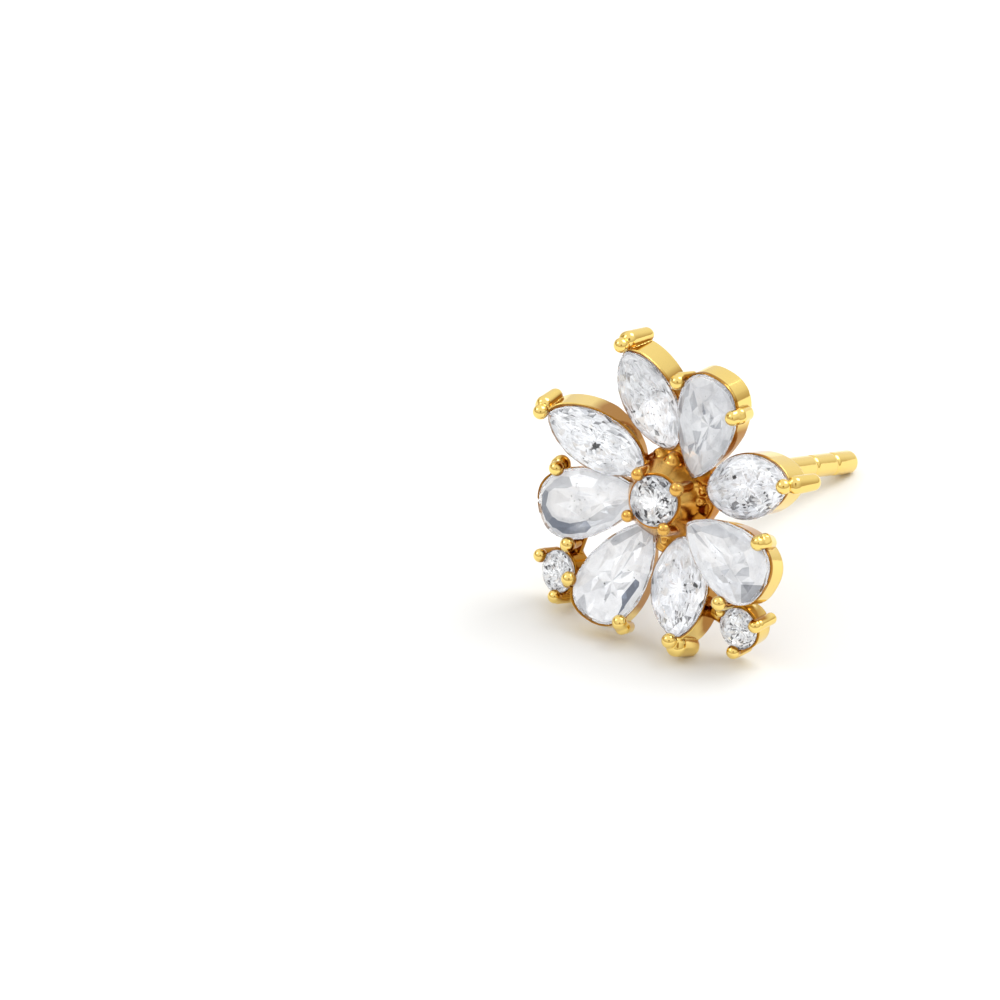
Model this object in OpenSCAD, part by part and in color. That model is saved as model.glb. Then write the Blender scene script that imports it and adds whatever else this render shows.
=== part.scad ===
// Flower stud earring.
// Eight petal stones, four pears and four marquises, ring a raised round
// stone. Two small rounds sit at the lower corners. One soldered gold setting
// carries them all, with a straight ear post behind the flower.
//
// The flower is drawn face up: its face looks along +Z, the post runs along
// -Z, and the centre stone's girdle is the origin. The last step lays it down
// as it rests on a table, on the tip of its post and its lowest two petals.

/* [Stones] */
// Length of a pear petal stone, from its point to its round end
pear_l = 4.05; // [3.9:0.05:4.1]
// Width of a pear petal stone
pear_w = 2.5; // [2.4:0.05:2.55]
// Diameter of the raised centre stone
centre_d = 1.8; // [1.7:0.05:1.9]
// Diameter of each small round stone
small_d = 1.5; // [1.4:0.05:1.55]
// Crown height of the marquises and rounds, as a share of their width
crown = 0.15; // [0.12:0.01:0.18]
// Pavilion depth of the marquises and rounds, as a share of their width
pavilion = 0.42; // [0.38:0.01:0.44]
// Height of a rose cut pear above its girdle
rose_h = 0.42; // [0.3:0.02:0.5]

/* [Setting] */
// How much narrower a petal's collet is at its foot, all round
taper = 0.08; // [0.04:0.02:0.12]
// Height of the rim above the girdle
rim_h = 0.05; // [0.02:0.01:0.08]
// Depth of a pear's collet below the girdle
pear_depth = 0.85; // [0.7:0.05:0.95]
// Depth of a marquise's collet below the girdle
marquise_depth = 1.05; // [0.95:0.05:1.15]
// Diameter of the prong wire of the petals
prong_d = 0.5; // [0.44:0.02:0.54]
// Diameter of the ball on each petal prong
ball_d = 0.58; // [0.54:0.02:0.6]
// Diameter of the prong wire of the round stones
fine_d = 0.42; // [0.38:0.02:0.46]
// Diameter of the ball on each round stone's prong
fine_ball_d = 0.52; // [0.48:0.02:0.54]
// Radius of the hub that joins the inner ends of the collets
hub_r = 1.65; // [1.6:0.05:1.75]

/* [Post] */
// Diameter of the ear post
post_d = 0.84; // [0.76:0.02:0.9]
// How far the post reaches behind the centre stone's girdle
post_reach = 14.6; // [13:0.1:15.5]
// Distance of the last groove from the end of the post
groove_end = 1.5; // [1.3:0.1:1.8]
// Distance between the two grooves
groove_step = 1.4; // [1.2:0.1:1.6]

/* [Rest] */
// How far the face leans back when the stud rests on a table
lean = 20.5; // [17:0.1:24]
// Sideways roll of the resting stud
rest_roll = -2.9; // [-6:0.1:6]

/* [Hidden] */

$fn = 48;
rest_at = [-0.25, -5.91, 5.19];  // where the centre stone comes to lie
gap = 0.03;          // clearance between a stone and the metal
seat_z = -0.3;       // top of the ledge that a marquise or round sits on
pear_seat_z = -0.2;  // top of the ledge under a pear's flat back
ledge = 0.26;        // how far the ledge reaches in under the girdle
tuck = 0.03;         // how far the inner half of a collet hides under the girdle
rim_slope = 7;       // fall of a petal's rim towards the centre, in degrees
side_n = 12;         // outline segments from point to point on one side

// Petals: name, cut, length, width, x, y, z of the girdle's centre, the turn
// of the long axis, the pitch of its outer end towards the viewer, the roll,
// the collet's rim outside the outer end, and how far it stands to the left.
NAME = 0; CUT = 1; LEN = 2; WID = 3; AT = 4; TURN = 5; PITCH = 6; ROLL = 7; RIM = 8; OFF = 9;
PETALS = [
    ["pear_top",          "pear",     pear_l, pear_w, [1.2, 2.9, -0.45],    78,  16, -1, 0.14, -0.02],
    ["pear_right",        "pear",     pear_l, pear_w, [3.05, -1.25, -0.3], -20,   7, -3, 0.02,  0.06],
    ["pear_lower_left",   "pear",     pear_l, pear_w, [-1.15, -2.8, -0.5], -108, 16, -4, 0.1,  -0.04],
    ["pear_left",         "pear",     pear_l, pear_w, [-2.9, -0.8, -0.7],  -159,  5, -2, 0.02, -0.06],
    ["marquise_top_left", "marquise", 3.85,   2.15,   [-1.2, 3.3, -0.5],    119, 20, -2, 0.12, -0.1],
    ["marquise_right",    "marquise", 3.5,    2.3,    [3.15, 1.25, -0.8],    19,  4,  0, 0.1,   0.08],
    ["marquise_bottom",   "marquise", 3.6,    2.25,   [1.2, -2.85, -0.75],  -72, 15, -4, 0.06,  0.06],
    ["marquise_left",     "marquise", 3.85,   2.1,    [-2.8, 1.45, -0.1],   160, 19, -5, 0.12, -0.1],
];

// Petal prongs: the petal that each holds, its place along and across that
// stone, the ball's height above the girdle, the wire's length and how far
// its foot leans, in degrees, outwards along the stone and to the left.
P_OF = 0; P_ALONG = 1; P_ACROSS = 2; P_UP = 3; P_LEN = 4; P_OUT = 5; P_SIDE = 6;
PRONGS = [
    ["pear_top",          1.35,  1.28, 0.32, 1.05,  -5,  -8],
    ["pear_top",          1.2,  -1.26, 0.32, 1.05,  -5,  10],
    ["pear_right",        1.1,   1.3,  0.32, 0.95,  -5, -10],
    ["pear_right",        0.95, -1.36, 0.3,  0.8,   -5,   8],
    ["pear_lower_left",   1.5,   1.2,  0.3,  0.95,  -5,  -5],
    ["pear_lower_left",   1.3,  -1.3,  0.22, 1.0,   -5,   8],
    ["pear_left",         1.04, -1.32, 0.22, 1.0,   -5,   8],
    ["pear_left",         1.05,  1.38, 0.24, 1.0,   -5,  -8],
    ["marquise_top_left", 2.26, -0.05, 0.2,  1.6,  -16, -10],
    ["marquise_right",    1.9,  -0.1,  0.5,  1.5,   15,   2],
    ["marquise_bottom",   1.98, -0.15, 0.28, 1.25,   4,   8],
    ["marquise_left",     2.18,  0,    0.26, 1.4,  -10, -14],
];

// Round stones: name, diameter, centre, tilt about X and Y, the ball's height
// above the girdle, the prongs' radius, their angles and their wire lengths.
R_NAME = 0; R_D = 1; R_AT = 2; R_TILT = 3; R_UP = 4; R_RAD = 5; R_ANG = 6; R_LEN = 7;
ROUNDS = [
    ["centre_stone",      centre_d, [0, 0, 0],             [0, 8],   0.2,  1.07, [37, 131, 222, 307], [1.7, 1.7, 1.7, 1.7]],
    ["small_stone_left",  small_d,  [-3.75, -3.55, -0.75], [3, -12], 0.15, 0.88, [-80, 155],          [1.6, 1]],
    ["small_stone_right", small_d,  [3.65, -3.77, -1.1],   [13, 0],  0.15, 0.85, [-94, 144, 24],      [1, 1, 1.05]],
];
cup_rim = 0.1;   // wall of a small cup outside its stone
cup_top = -0.1;  // top of a small cup, below the girdle

// Half width of a stone at t, from -1 at its inner end to 1 at its outer end.
// The two powers shape the ends: 0.5 is as round as an ellipse, 1 is a point.
function ends(cut) = cut == "pear" ? [0.4, 0.74] : [0.66, 0.64];
function side(t, e) = pow(1 - t, e[0]) * pow(1 + t, e[1]);
function half(t, e) = side(t, e) / side((e[1] - e[0]) / (e[0] + e[1]), e);

// Outline of a stone as a ring of points, anticlockwise, in its own frame.
function outline(cut, l, w, n = side_n) = concat(
    [for (i = [0:n - 1]) let (t = cos(180 * i / n), h = half(t, ends(cut)))
        [l / 2 * t, (i == 0) ? 0 : w / 2 * h]],
    [for (i = [0:n - 1]) let (t = -cos(180 * i / n), h = half(t, ends(cut)))
        [l / 2 * t, (i == 0) ? 0 : -w / 2 * h]]);

function grown(p, d) = outline(p[CUT], p[LEN] + 2 * d, p[WID] + 2 * d);

// The same outline grown by near over its inner half, and by more and more
// towards the outer end, where it is grown by far.
function walled(p, near, far) = [for (q = outline(p[CUT], p[LEN], p[WID]))
    let (t = q[0] / (p[LEN] / 2), s = sqrt(max(0, 1 - t * t)),
        g = near + (far - near) * pow(max(0, min(1, (t + 0.2) / 1.1)), 2))
    [q[0] + g * t, q[1] + g * s * sign(q[1])]];
function lift(pts, z) = [for (q = pts) [q[0], q[1], z]];
function ring(r, n, z, turn = 0) =
    [for (i = [0:n - 1]) [r * cos(360 * i / n + turn), r * sin(360 * i / n + turn), z]];
function named(name) = [for (p = PETALS) if (p[NAME] == name) p][0];

// Solid through a stack of rings with the same number of points, from the
// lowest ring to the highest.
module stack(rings) {
    n = len(rings[0]);
    m = len(rings);
    polyhedron(
        points = [for (r = rings) each r],
        faces = concat(
            [[for (i = [0:n - 1]) i], [for (i = [n - 1:-1:0]) (m - 1) * n + i]],
            [for (k = [0:m - 2]) for (i = [0:n - 1])
                [k * n + i, (k + 1) * n + i, k * n + (i + 1) % n]],
            [for (k = [0:m - 2]) for (i = [0:n - 1])
                [(k + 1) * n + i, (k + 1) * n + (i + 1) % n, k * n + (i + 1) % n]]));
}

// Convex faceted stone through its corner points.
module gem(pts) {
    hull() polyhedron(points = pts, faces = [[for (i = [0:len(pts) - 1]) i]]);
}

// Rose cut pear: a flat back, a thin girdle, two rows of facets and a table.
module pear_gem(l, w) {
    gem(concat(
        lift(outline("pear", l * 0.86, w * 0.84, 6), -0.15),
        lift(outline("pear", l, w), -0.03),
        lift(outline("pear", l, w), 0.03),
        [for (q = outline("pear", l * 0.8, w * 0.8, 6)) [q[0] + 0.03, q[1], rose_h * 0.68]],
        [for (q = outline("pear", l * 0.42, w * 0.44, 3)) [q[0] + 0.15, q[1], rose_h]]));
}

// Marquise brilliant: table, crown mains, girdle, pavilion down to a keel.
module marquise_gem(l, w) {
    gem(concat(
        lift(outline("marquise", l * 0.56, w * 0.58, 4), w * crown),
        lift(outline("marquise", l * 0.82, w * 0.8, 6), w * crown * 0.6),
        lift(outline("marquise", l, w), 0.02),
        lift(outline("marquise", l, w), -0.02),
        [for (s = [-1, 1]) [s * l * 0.14, 0, -w * pavilion]]));
}

// Round brilliant: table, star facets, girdle, pavilion down to a culet.
module round_gem(d) {
    gem(concat(
        ring(d * 0.28, 8, d * crown + 0.02, 22.5),
        ring(d * 0.4, 8, d * crown * 0.6 + 0.02),
        ring(d / 2, 24, 0.02),
        ring(d / 2, 24, -0.02),
        [[0, 0, -d * pavilion]]));
}

// Places its children in the frame of a petal or of a round stone.
module in_petal(p) translate(p[AT]) rotate([p[ROLL], -p[PITCH], p[TURN]]) children();
module in_round(r) translate(r[R_AT]) rotate([r[R_TILT][0], r[R_TILT][1], 0]) children();

// Lays the flower down as it rests, with its lowest point on the table.
module at_rest()
    translate(rest_at) rotate([0, rest_roll, 0]) rotate([90 - lean, 0, 0]) children();

module petal_stone(name) {
    p = named(name);
    color("aliceblue") at_rest() in_petal(p)
        if (p[CUT] == "pear") pear_gem(p[LEN], p[WID]);
        else marquise_gem(p[LEN], p[WID]);
}

module round_stone(i) {
    color("white") at_rest() in_round(ROUNDS[i]) round_gem(ROUNDS[i][R_D]);
}

// Upright prism of a petal's outline, grown by d, between two heights.
module petal_prism(p, d, z0, z1) translate([0, 0, z0])
    linear_extrude(height = z1 - z0) polygon(grown(p, d));

function depth_of(p) = p[CUT] == "pear" ? pear_depth : marquise_depth;
function ledge_of(p) = p[CUT] == "pear" ? pear_seat_z : seat_z;

// Solid blank of a petal's collet, before it is hollowed: it narrows to its
// foot, and its rim falls below the girdle towards the flower's centre.
module petal_blank(p) {
    difference() {
        translate([0, p[OFF], 0])
            stack([lift(walled(p, -tuck - taper / 2, p[RIM] + gap - taper), -depth_of(p)),
                lift(walled(p, -tuck, p[RIM] + gap), rim_h)]);
        translate([0.1, 0, rim_h]) rotate([0, -rim_slope, 0])
            translate([-3, -2, 0]) cube([3, 4, 1]);
    }
}

// What a petal's stone and the space under it take out of the metal.
module petal_hollow(p, top) {
    petal_prism(p, -ledge, -2.4, 0);
    petal_prism(p, gap, ledge_of(p), top);
}

// Room that a petal's stone needs between its prongs, a gap wider all round.
module petal_room(p) {
    pear = p[CUT] == "pear";
    up = pear ? [0.8, rose_h * 0.68, 0.03] : [0.8, p[WID] * crown * 0.6, 0];
    table = pear ? [0.44, rose_h, 0.15] : [0.58, p[WID] * crown, 0];
    function scaled(k, z, x) = [for (q = outline(p[CUT], p[LEN] * k + 2 * gap, p[WID] * k + 2 * gap))
        [q[0] + x, q[1], z]];
    stack([scaled(1, ledge_of(p), 0), scaled(1, 0.05, 0),
        scaled(up[0], up[1] + gap, up[2]), scaled(table[0], table[1] + gap, table[2])]);
}

module round_room(r) {
    d = r[R_D];
    translate([0, 0, seat_z]) cylinder(d = d + 2 * gap, h = 0.05 - seat_z);
    translate([0, 0, 0.049]) cylinder(d1 = d + 2 * gap, d2 = d * 0.56 + 0.14, h = d * crown);
}

module petal_prong(row) {
    p = named(row[P_OF]);
    head = [row[P_ALONG], row[P_ACROSS], row[P_UP]];
    foot = head + [tan(row[P_OUT]), tan(row[P_SIDE]), -1] * row[P_LEN];
    in_petal(p) difference() {
        union() {
            bar(head, foot, prong_d);
            translate(head) sphere(d = ball_d);
        }
        petal_room(p);
    }
}

// Cup of a small round stone, and its prongs.
module round_cup(r) in_round(r) {
    translate([0, 0, -0.85]) difference() {
        cylinder(r = r[R_D] / 2 + cup_rim, h = 0.85 + cup_top);
        translate([0, 0, -0.1]) cylinder(r = r[R_D] / 2 - ledge, h = 2);
        translate([0, 0, 0.85 + seat_z]) cylinder(r = r[R_D] / 2 + gap, h = 1);
    }
}

module round_prongs(r) in_round(r) difference() {
    for (i = [0:len(r[R_ANG]) - 1]) rotate([0, 0, r[R_ANG][i]]) translate([r[R_RAD], 0, 0]) {
        translate([0, 0, r[R_UP] - r[R_LEN][i]]) cylinder(d = fine_d, h = r[R_LEN][i]);
        translate([0, 0, r[R_UP]]) sphere(d = fine_ball_d);
    }
    round_room(r);
}

// Ring under the centre stone's girdle that ties its four prongs together.
module centre_ring() in_round(ROUNDS[0]) translate([0, 0, -0.5])
    rotate_extrude() translate([0.8, 0]) circle(d = 0.3);

// Round bar from a to b.
module bar(a, b, d) {
    v = b - a;
    translate(a) rotate([0, acos(v[2] / norm(v)), atan2(v[1], v[0])]) cylinder(d = d, h = norm(v));
}

// Bars that tie the two small cups to their neighbours.
module ties() {
    bar([-3.6, -3.1, -1.35], [-3.3, -2, -1.2], 0.5);
    bar([-3.2, -3.5, -1.3], [-2.2, -3.15, -1.1], 0.5);
    bar([3.1, -3.75, -1.6], [2.05, -3.35, -1.3], 0.5);
    bar([3.8, -3.25, -1.45], [3.6, -2.35, -0.95], 0.5);
}

hub_top = -1.15;
hub_bottom = -1.75;
hub_at = [0.1, 0.3];
post_at = [-0.8, 0.25];

// Hub plate with grains on it, and the round pad that the post stands on.
module hub() {
    translate([hub_at[0], hub_at[1], hub_bottom]) cylinder(r = hub_r, h = hub_top - hub_bottom);
    for (g = [[1.25, 0.15, 0.32], [1.3, 0.95, 0.28], [-0.1, 1.5, 0.36], [0.35, 1.4, 0.26], [-1.45, 0.5, 0.3]])
        translate([g[0], g[1], hub_top]) sphere(r = g[2], $fn = 24);
    translate([-0.4, 0.12, hub_bottom - 0.35]) cylinder(r = 1.15, h = 0.5);
}

// Ear post: plain wire, two grooves that the clutch snaps onto, rounded end.
module post() translate([post_at[0], post_at[1], 0]) {
    difference() {
        translate([0, 0, -post_reach + post_d / 2]) cylinder(d = post_d, h = post_reach - 2);
        for (z = [groove_end, groove_end + groove_step]) translate([0, 0, z - post_reach])
            rotate_extrude() translate([post_d / 2 + 0.06, 0]) circle(r = 0.13, $fn = 24);
    }
    translate([0, 0, -post_reach + post_d / 2]) sphere(d = post_d);
}

module setting() color("goldenrod") at_rest() difference() {
    union() {
        difference() {
            union() {
                for (p = PETALS) in_petal(p) petal_blank(p);
                hub();
                ties();
            }
            for (p = PETALS) in_petal(p) petal_hollow(p, 1.2);
            for (i = [1, 2]) in_round(ROUNDS[i])
                translate([0, 0, -2]) cylinder(r = ROUNDS[i][R_D] / 2 - ledge, h = 3);
        }
        for (i = [1, 2]) round_cup(ROUNDS[i]);
        for (row = PRONGS) petal_prong(row);
        for (r = ROUNDS) round_prongs(r);
        centre_ring();
        post();
    }
    for (i = [1, 2]) in_round(ROUNDS[i]) round_room(ROUNDS[i]);
}

setting();
petal_stone("pear_top");  // pear_top
petal_stone("pear_right");  // pear_right
petal_stone("pear_lower_left");  // pear_lower_left
petal_stone("pear_left");  // pear_left
petal_stone("marquise_top_left");  // marquise_top_left
petal_stone("marquise_right");  // marquise_right
petal_stone("marquise_bottom");  // marquise_bottom
petal_stone("marquise_left");  // marquise_left
round_stone(0);  // centre_stone
round_stone(1);  // small_stone_left
round_stone(2);  // small_stone_right
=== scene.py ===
"""Flower stud earring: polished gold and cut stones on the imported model's frame.

Shapes are worked out in the flower's own frame, in millimetres: the face looks
along +Z, the ear post runs along -Z and the centre stone's girdle is the
origin. laid_down() then gives them their place at rest, in metres.
"""

from itertools import combinations
from math import atan2, copysign, cos, degrees, pi, radians, sin, tan

import bpy
import numpy as np
from numpy.linalg import norm
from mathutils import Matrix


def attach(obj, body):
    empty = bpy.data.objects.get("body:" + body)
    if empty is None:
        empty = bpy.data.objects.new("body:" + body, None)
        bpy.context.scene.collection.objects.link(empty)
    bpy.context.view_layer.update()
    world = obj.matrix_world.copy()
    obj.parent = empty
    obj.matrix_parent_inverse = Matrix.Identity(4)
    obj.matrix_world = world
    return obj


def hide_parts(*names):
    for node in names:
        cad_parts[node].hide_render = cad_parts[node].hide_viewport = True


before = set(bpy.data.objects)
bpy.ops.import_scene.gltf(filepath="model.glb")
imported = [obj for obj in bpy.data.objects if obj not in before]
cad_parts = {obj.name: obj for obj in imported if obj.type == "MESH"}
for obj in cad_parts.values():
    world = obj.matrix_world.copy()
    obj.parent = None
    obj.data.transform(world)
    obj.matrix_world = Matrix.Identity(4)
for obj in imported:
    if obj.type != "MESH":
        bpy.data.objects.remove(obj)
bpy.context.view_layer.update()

MM = 0.001
LEAN = 20.5  # degrees, as in the part's source
REST_ROLL = -2.9
REST_AT = np.array([-0.25, -5.91, 5.19])
STEP = 0.036  # mesh spacing of the gold, in mm

# name: cut, length, width, place, turn, pitch, roll, rim, side shift of the collet
PETALS = {
    "pear_top": ("pear", 4.05, 2.5, (1.2, 2.9, -0.45), 78, 16, -1, 0.14, -0.02),
    "pear_right": ("pear", 4.05, 2.5, (3.05, -1.25, -0.3), -20, 7, -3, 0.02, 0.06),
    "pear_lower_left": ("pear", 4.05, 2.5, (-1.15, -2.8, -0.5), -108, 16, -4, 0.1, -0.04),
    "pear_left": ("pear", 4.05, 2.5, (-2.9, -0.8, -0.7), -159, 5, -2, 0.02, -0.06),
    "marquise_top_left": ("marquise", 3.85, 2.15, (-1.2, 3.3, -0.5), 119, 20, -2, 0.12, -0.1),
    "marquise_right": ("marquise", 3.5, 2.3, (3.15, 1.25, -0.8), 19, 4, 0, 0.1, 0.08),
    "marquise_bottom": ("marquise", 3.6, 2.25, (1.2, -2.85, -0.75), -72, 15, -4, 0.06, 0.06),
    "marquise_left": ("marquise", 3.85, 2.1, (-2.8, 1.45, -0.1), 160, 19, -5, 0.12, -0.1),
}
# petal: (along, across, up, length, out, side, reach over the rim, width, thickness) of each prong
PRONGS = {
    "pear_top": [(1.35, 1.28, 0.32, 1.05, -8, -8, 0.12, 0.5, 0.44),
        (1.2, -1.26, 0.32, 1.05, -12, 10, 0.22, 0.6, 0.5)],
    "pear_right": [(1.1, 1.3, 0.32, 0.95, -12, -10, 0.22, 0.6, 0.5),
        (0.95, -1.36, 0.3, 0.8, -5, 8, 0.06, 0.5, 0.44)],
    "pear_lower_left": [(1.5, 1.2, 0.3, 0.95, -8, -5, 0.2, 0.6, 0.5),
        (1.3, -1.3, 0.22, 1.0, -5, 8, 0.12, 0.6, 0.44)],
    "pear_left": [(1.04, -1.32, 0.22, 0.8, -4, 8, 0.16, 0.86, 0.78),
        (1.05, 1.38, 0.24, 1.0, -5, -8, 0.05, 0.5, 0.44)],
    "marquise_top_left": [(2.26, -0.05, 0.2, 1.6, -16, -10, 0.13, 0.72, 0.66)],
    "marquise_right": [(1.9, -0.1, 0.5, 1.5, 15, 2, 0.1, 0.7, 0.64)],
    "marquise_bottom": [(1.98, -0.15, 0.28, 1.6, -9, 8, 0.14, 0.8, 0.86)],
    "marquise_left": [(2.18, 0, 0.26, 1.4, -10, -14, 0.13, 0.7, 0.64)],
}
# round stone: diameter, place, tilt about X and Y, height of its balls, radius of its ring of
# prongs, then for each prong its angle, its length and its ball's radius
ROUNDS = {
    "centre_stone": (1.8, (0, 0, 0), (0, 8), 0.2, 1.07,
        (37, 131, 222, 307), (1.7,) * 4, (0.27, 0.235, 0.225, 0.25)),
    "small_stone_left": (1.5, (-3.75, -3.55, -0.75), (3, -12), 0.15, 0.88,
        (-80, 155), (1.6, 1), (0.25, 0.25)),
    "small_stone_right": (1.5, (3.65, -3.77, -1.1), (13, 0), 0.15, 0.85,
        (-94, 144, 24), (1, 1, 1.05), (0.25, 0.19, 0.25)),
}
ENDS = {"pear": (0.4, 0.74), "marquise": (0.66, 0.64)}  # powers of an outline's two ends
GIRDLE = 0.03  # half the thickness of a stone's girdle
CROWN_DEG = {"pear": 31, "marquise": 33, "round": 33}  # slope of the facets over the girdle
NEAR = 3.6  # stones closer than this touch each other's gold
DEPTH = {"pear": 0.85, "marquise": 1.05}  # of a petal's collet
WALL = 0.21  # thickness of a collet's wall
TUCK = 0.03  # how far its inner end lies under the stone
GAP = 0.03  # between the stone and its outer end
TAPER = 0.08  # how much it draws in towards its foot
RIM_H = 0.05  # how high its rim stands over the girdle
RIM_RISE = 7  # degrees that its rim climbs outwards
RIM_OUT = 0.06  # how far its rim stands out past the stone at most
EDGE = 0.035  # rounding of its edges and of the fillets at its prongs
HUB_AT = (0.1, 0.3, -1.42)  # middle of the cast plate under the centre stone
POST_AT = (-0.8, 0.25)  # the ear post's axis
POST_R = 0.42
POST_END = -14.6  # height of its rounded end
GROOVES = (-11.7, -13.1)  # heights of its two grooves
VIEW = (32.9, 29.6)  # azimuth and elevation of the photograph's side, in degrees


# ---- frames

def unit(value):
    """A value held between 0 and 1."""
    return np.clip(value, 0, 1)


def turned(rx, ry, rz):
    """Rotation matrix: about X first, then Y, then Z, in degrees."""
    ((a, b, c), (s, t, u)) = ([f(radians(v)) for v in (rx, ry, rz)] for f in (cos, sin))
    mx = np.array([[1, 0, 0], [0, a, -s], [0, s, a]])
    my = np.array([[b, 0, t], [0, 1, 0], [-t, 0, b]])
    mz = np.array([[c, -u, 0], [u, c, 0], [0, 0, 1]])
    return mz @ my @ mx


REST = turned(0, REST_ROLL, 0) @ turned(90 - LEAN, 0, 0)


def laid_down(points):
    """Flower frame in mm to the resting place in metres: turn by REST, then shift to REST_AT."""
    return (np.asarray(points) @ REST.T + REST_AT) * MM


def seat_frame(name):
    """Rotation and origin of a stone's own frame, X along the stone and Z out of its table."""
    if name in PETALS:
        (_, _, _, at, turn, pitch, roll, _, _) = PETALS[name]
        return turned(roll, -pitch, turn), np.array(at, float)
    (_, at, tilt, *_rest) = ROUNDS[name]
    return turned(tilt[0], tilt[1], 0), np.array(at, float)


def from_seat(name, points):
    """A stone's own frame to the flower frame."""
    (turn, at) = seat_frame(name)
    return np.asarray(points) @ turn.T + at


def into_seat(name, x, y, z):
    """Flower-frame coordinates as three arrays in a stone's own frame."""
    (turn, at) = seat_frame(name)
    (x, y, z) = (x - at[0], y - at[1], z - at[2])
    return tuple(turn[0, i] * x + turn[1, i] * y + turn[2, i] * z for i in range(3))


def out_of_seat(name, x, y, z):
    """The way back: coordinates in a stone's own frame as three arrays in the flower frame."""
    (turn, at) = seat_frame(name)
    return [turn[i, 0] * x + turn[i, 1] * y + turn[i, 2] * z + at[i] for i in range(3)]


# ---- outlines

def outline(cut, length, width, count=96):
    """Closed outline: half width is (1-t)^a (1+t)^b of its peak, t from -1 (inner end) to 1."""
    (a, b) = ENDS[cut]
    t = np.cos(np.linspace(0, pi, count + 1))
    (one, two) = (np.clip(1 - t, 0, 2), np.clip(1 + t, 0, 2))
    peak = (b - a) / (a + b)
    half = one ** a * two ** b / ((1 - peak) ** a * (1 + peak) ** b)
    upper = np.stack([length / 2 * t, width / 2 * half], 1)
    lower = upper[-2:0:-1] * (1, -1)
    return np.concatenate([upper, lower])


def circle(diameter, count=96):
    """Closed ring of points: (r cos u, r sin u)."""
    u = np.linspace(0, 2 * pi, count, endpoint=False)
    return diameter / 2 * np.stack([np.cos(u), np.sin(u)], 1)


def girdle(ring, cell=0.025, margin=1.2):
    """Signed distance to a stone's outline, kept on a grid and read between the grid's points."""
    low = ring.min(0) - margin
    size = np.ceil((ring.max(0) + margin - low) / cell).astype(int) + 1
    (gx, gy) = (low[i] + cell * np.arange(size[i]) for i in (0, 1))
    (px, py) = np.meshgrid(gx, gy, indexing="ij")
    best = np.full(px.shape, 9.0)
    inside = np.zeros(px.shape, bool)
    for (x0, y0, x1, y1) in np.hstack([ring, np.roll(ring, -1, 0)]):
        (ex, ey) = (x1 - x0, y1 - y0)
        s = unit(((px - x0) * ex + (py - y0) * ey) / (ex * ex + ey * ey))
        best = np.minimum(best, np.hypot(px - x0 - s * ex, py - y0 - s * ey))
        crosses = (y0 > py) != (y1 > py)
        inside ^= crosses & (px < x0 + (py - y0) * ex / (ey if ey else 1e-12))
    t = np.where(inside, -best, best)

    def away(x, y):
        """Distance outside the outline, negative inside it."""
        (u, v) = (np.clip((p - low[i]) / cell, 0, t.shape[i] - 1.001)
                  for (i, p) in enumerate((x, y)))
        (i, j) = (u.astype(int), v.astype(int))
        (u, v) = (u - i, v - j)
        return ((t[i, j] * (1 - u) + t[i + 1, j] * u) * (1 - v)
                + (t[i, j + 1] * (1 - u) + t[i + 1, j + 1] * u) * v)

    return away


AWAY = {name: girdle(outline(*p[:3])) for (name, p) in PETALS.items()}


# ---- distance fields

def joined(a, b, soft):
    """Smooth union of two distance fields, with a fillet of about soft mm."""
    h = unit(0.5 + 0.5 * (b - a) / soft)
    return b * (1 - h) + a * h - soft * h * (1 - h)


def common(a, b, soft):
    """Smooth intersection of two distance fields, with its edge rounded by about soft mm."""
    return -joined(-a, -b, soft)


def axis(a, b):
    """A bar's start, its direction and its length."""
    (a, b) = (np.asarray(a, float), np.asarray(b, float))
    length = norm(b - a)
    return a, (b - a) / length, length


def rod(x, y, z, a, b, radius, edge=0.08):
    """Distance to a round bar from a to b with flat, softly rounded ends."""
    (a, w, length) = axis(a, b)
    (dx, dy, dz) = (x - a[0], y - a[1], z - a[2])
    s = dx * w[0] + dy * w[1] + dz * w[2]
    rho = np.sqrt(np.maximum(dx * dx + dy * dy + dz * dz - s * s, 0))
    q = rho - radius + edge
    r = np.abs(s - length / 2) - length / 2 + edge
    return np.hypot(np.maximum(q, 0), np.maximum(r, 0)) + np.minimum(np.maximum(q, r), 0) - edge


def flat_bar(x, y, z, a, b, broad, wide, thick, edge, taper=0.16):
    """Distance to a bar from a to b with a rounded rectangular section, its broad side along broad.
    It narrows evenly towards b by the share taper."""
    (a, w, length) = axis(a, b)
    u = np.asarray(broad, float)
    u = u - (u @ w) * w
    u = u / norm(u)
    v = np.cross(w, u)
    (dx, dy, dz) = (x - a[0], y - a[1], z - a[2])
    (p, q, r) = (dx * e[0] + dy * e[1] + dz * e[2] for e in (u, v, w))
    slim = 1 - taper * unit(r / length)
    over = [np.abs(p) - wide / 2 * slim + edge, np.abs(q) - thick / 2 * slim + edge,
            np.abs(r - length / 2) - length / 2 + edge]
    out = np.sqrt(sum(np.maximum(k, 0) ** 2 for k in over))
    return out + np.minimum(np.maximum(np.maximum(over[0], over[1]), over[2]), 0) - edge


def ball(x, y, z, at, radius):
    """Distance to a sphere."""
    return np.sqrt((x - at[0]) ** 2 + (y - at[1]) ** 2 + (z - at[2]) ** 2) - radius


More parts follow.
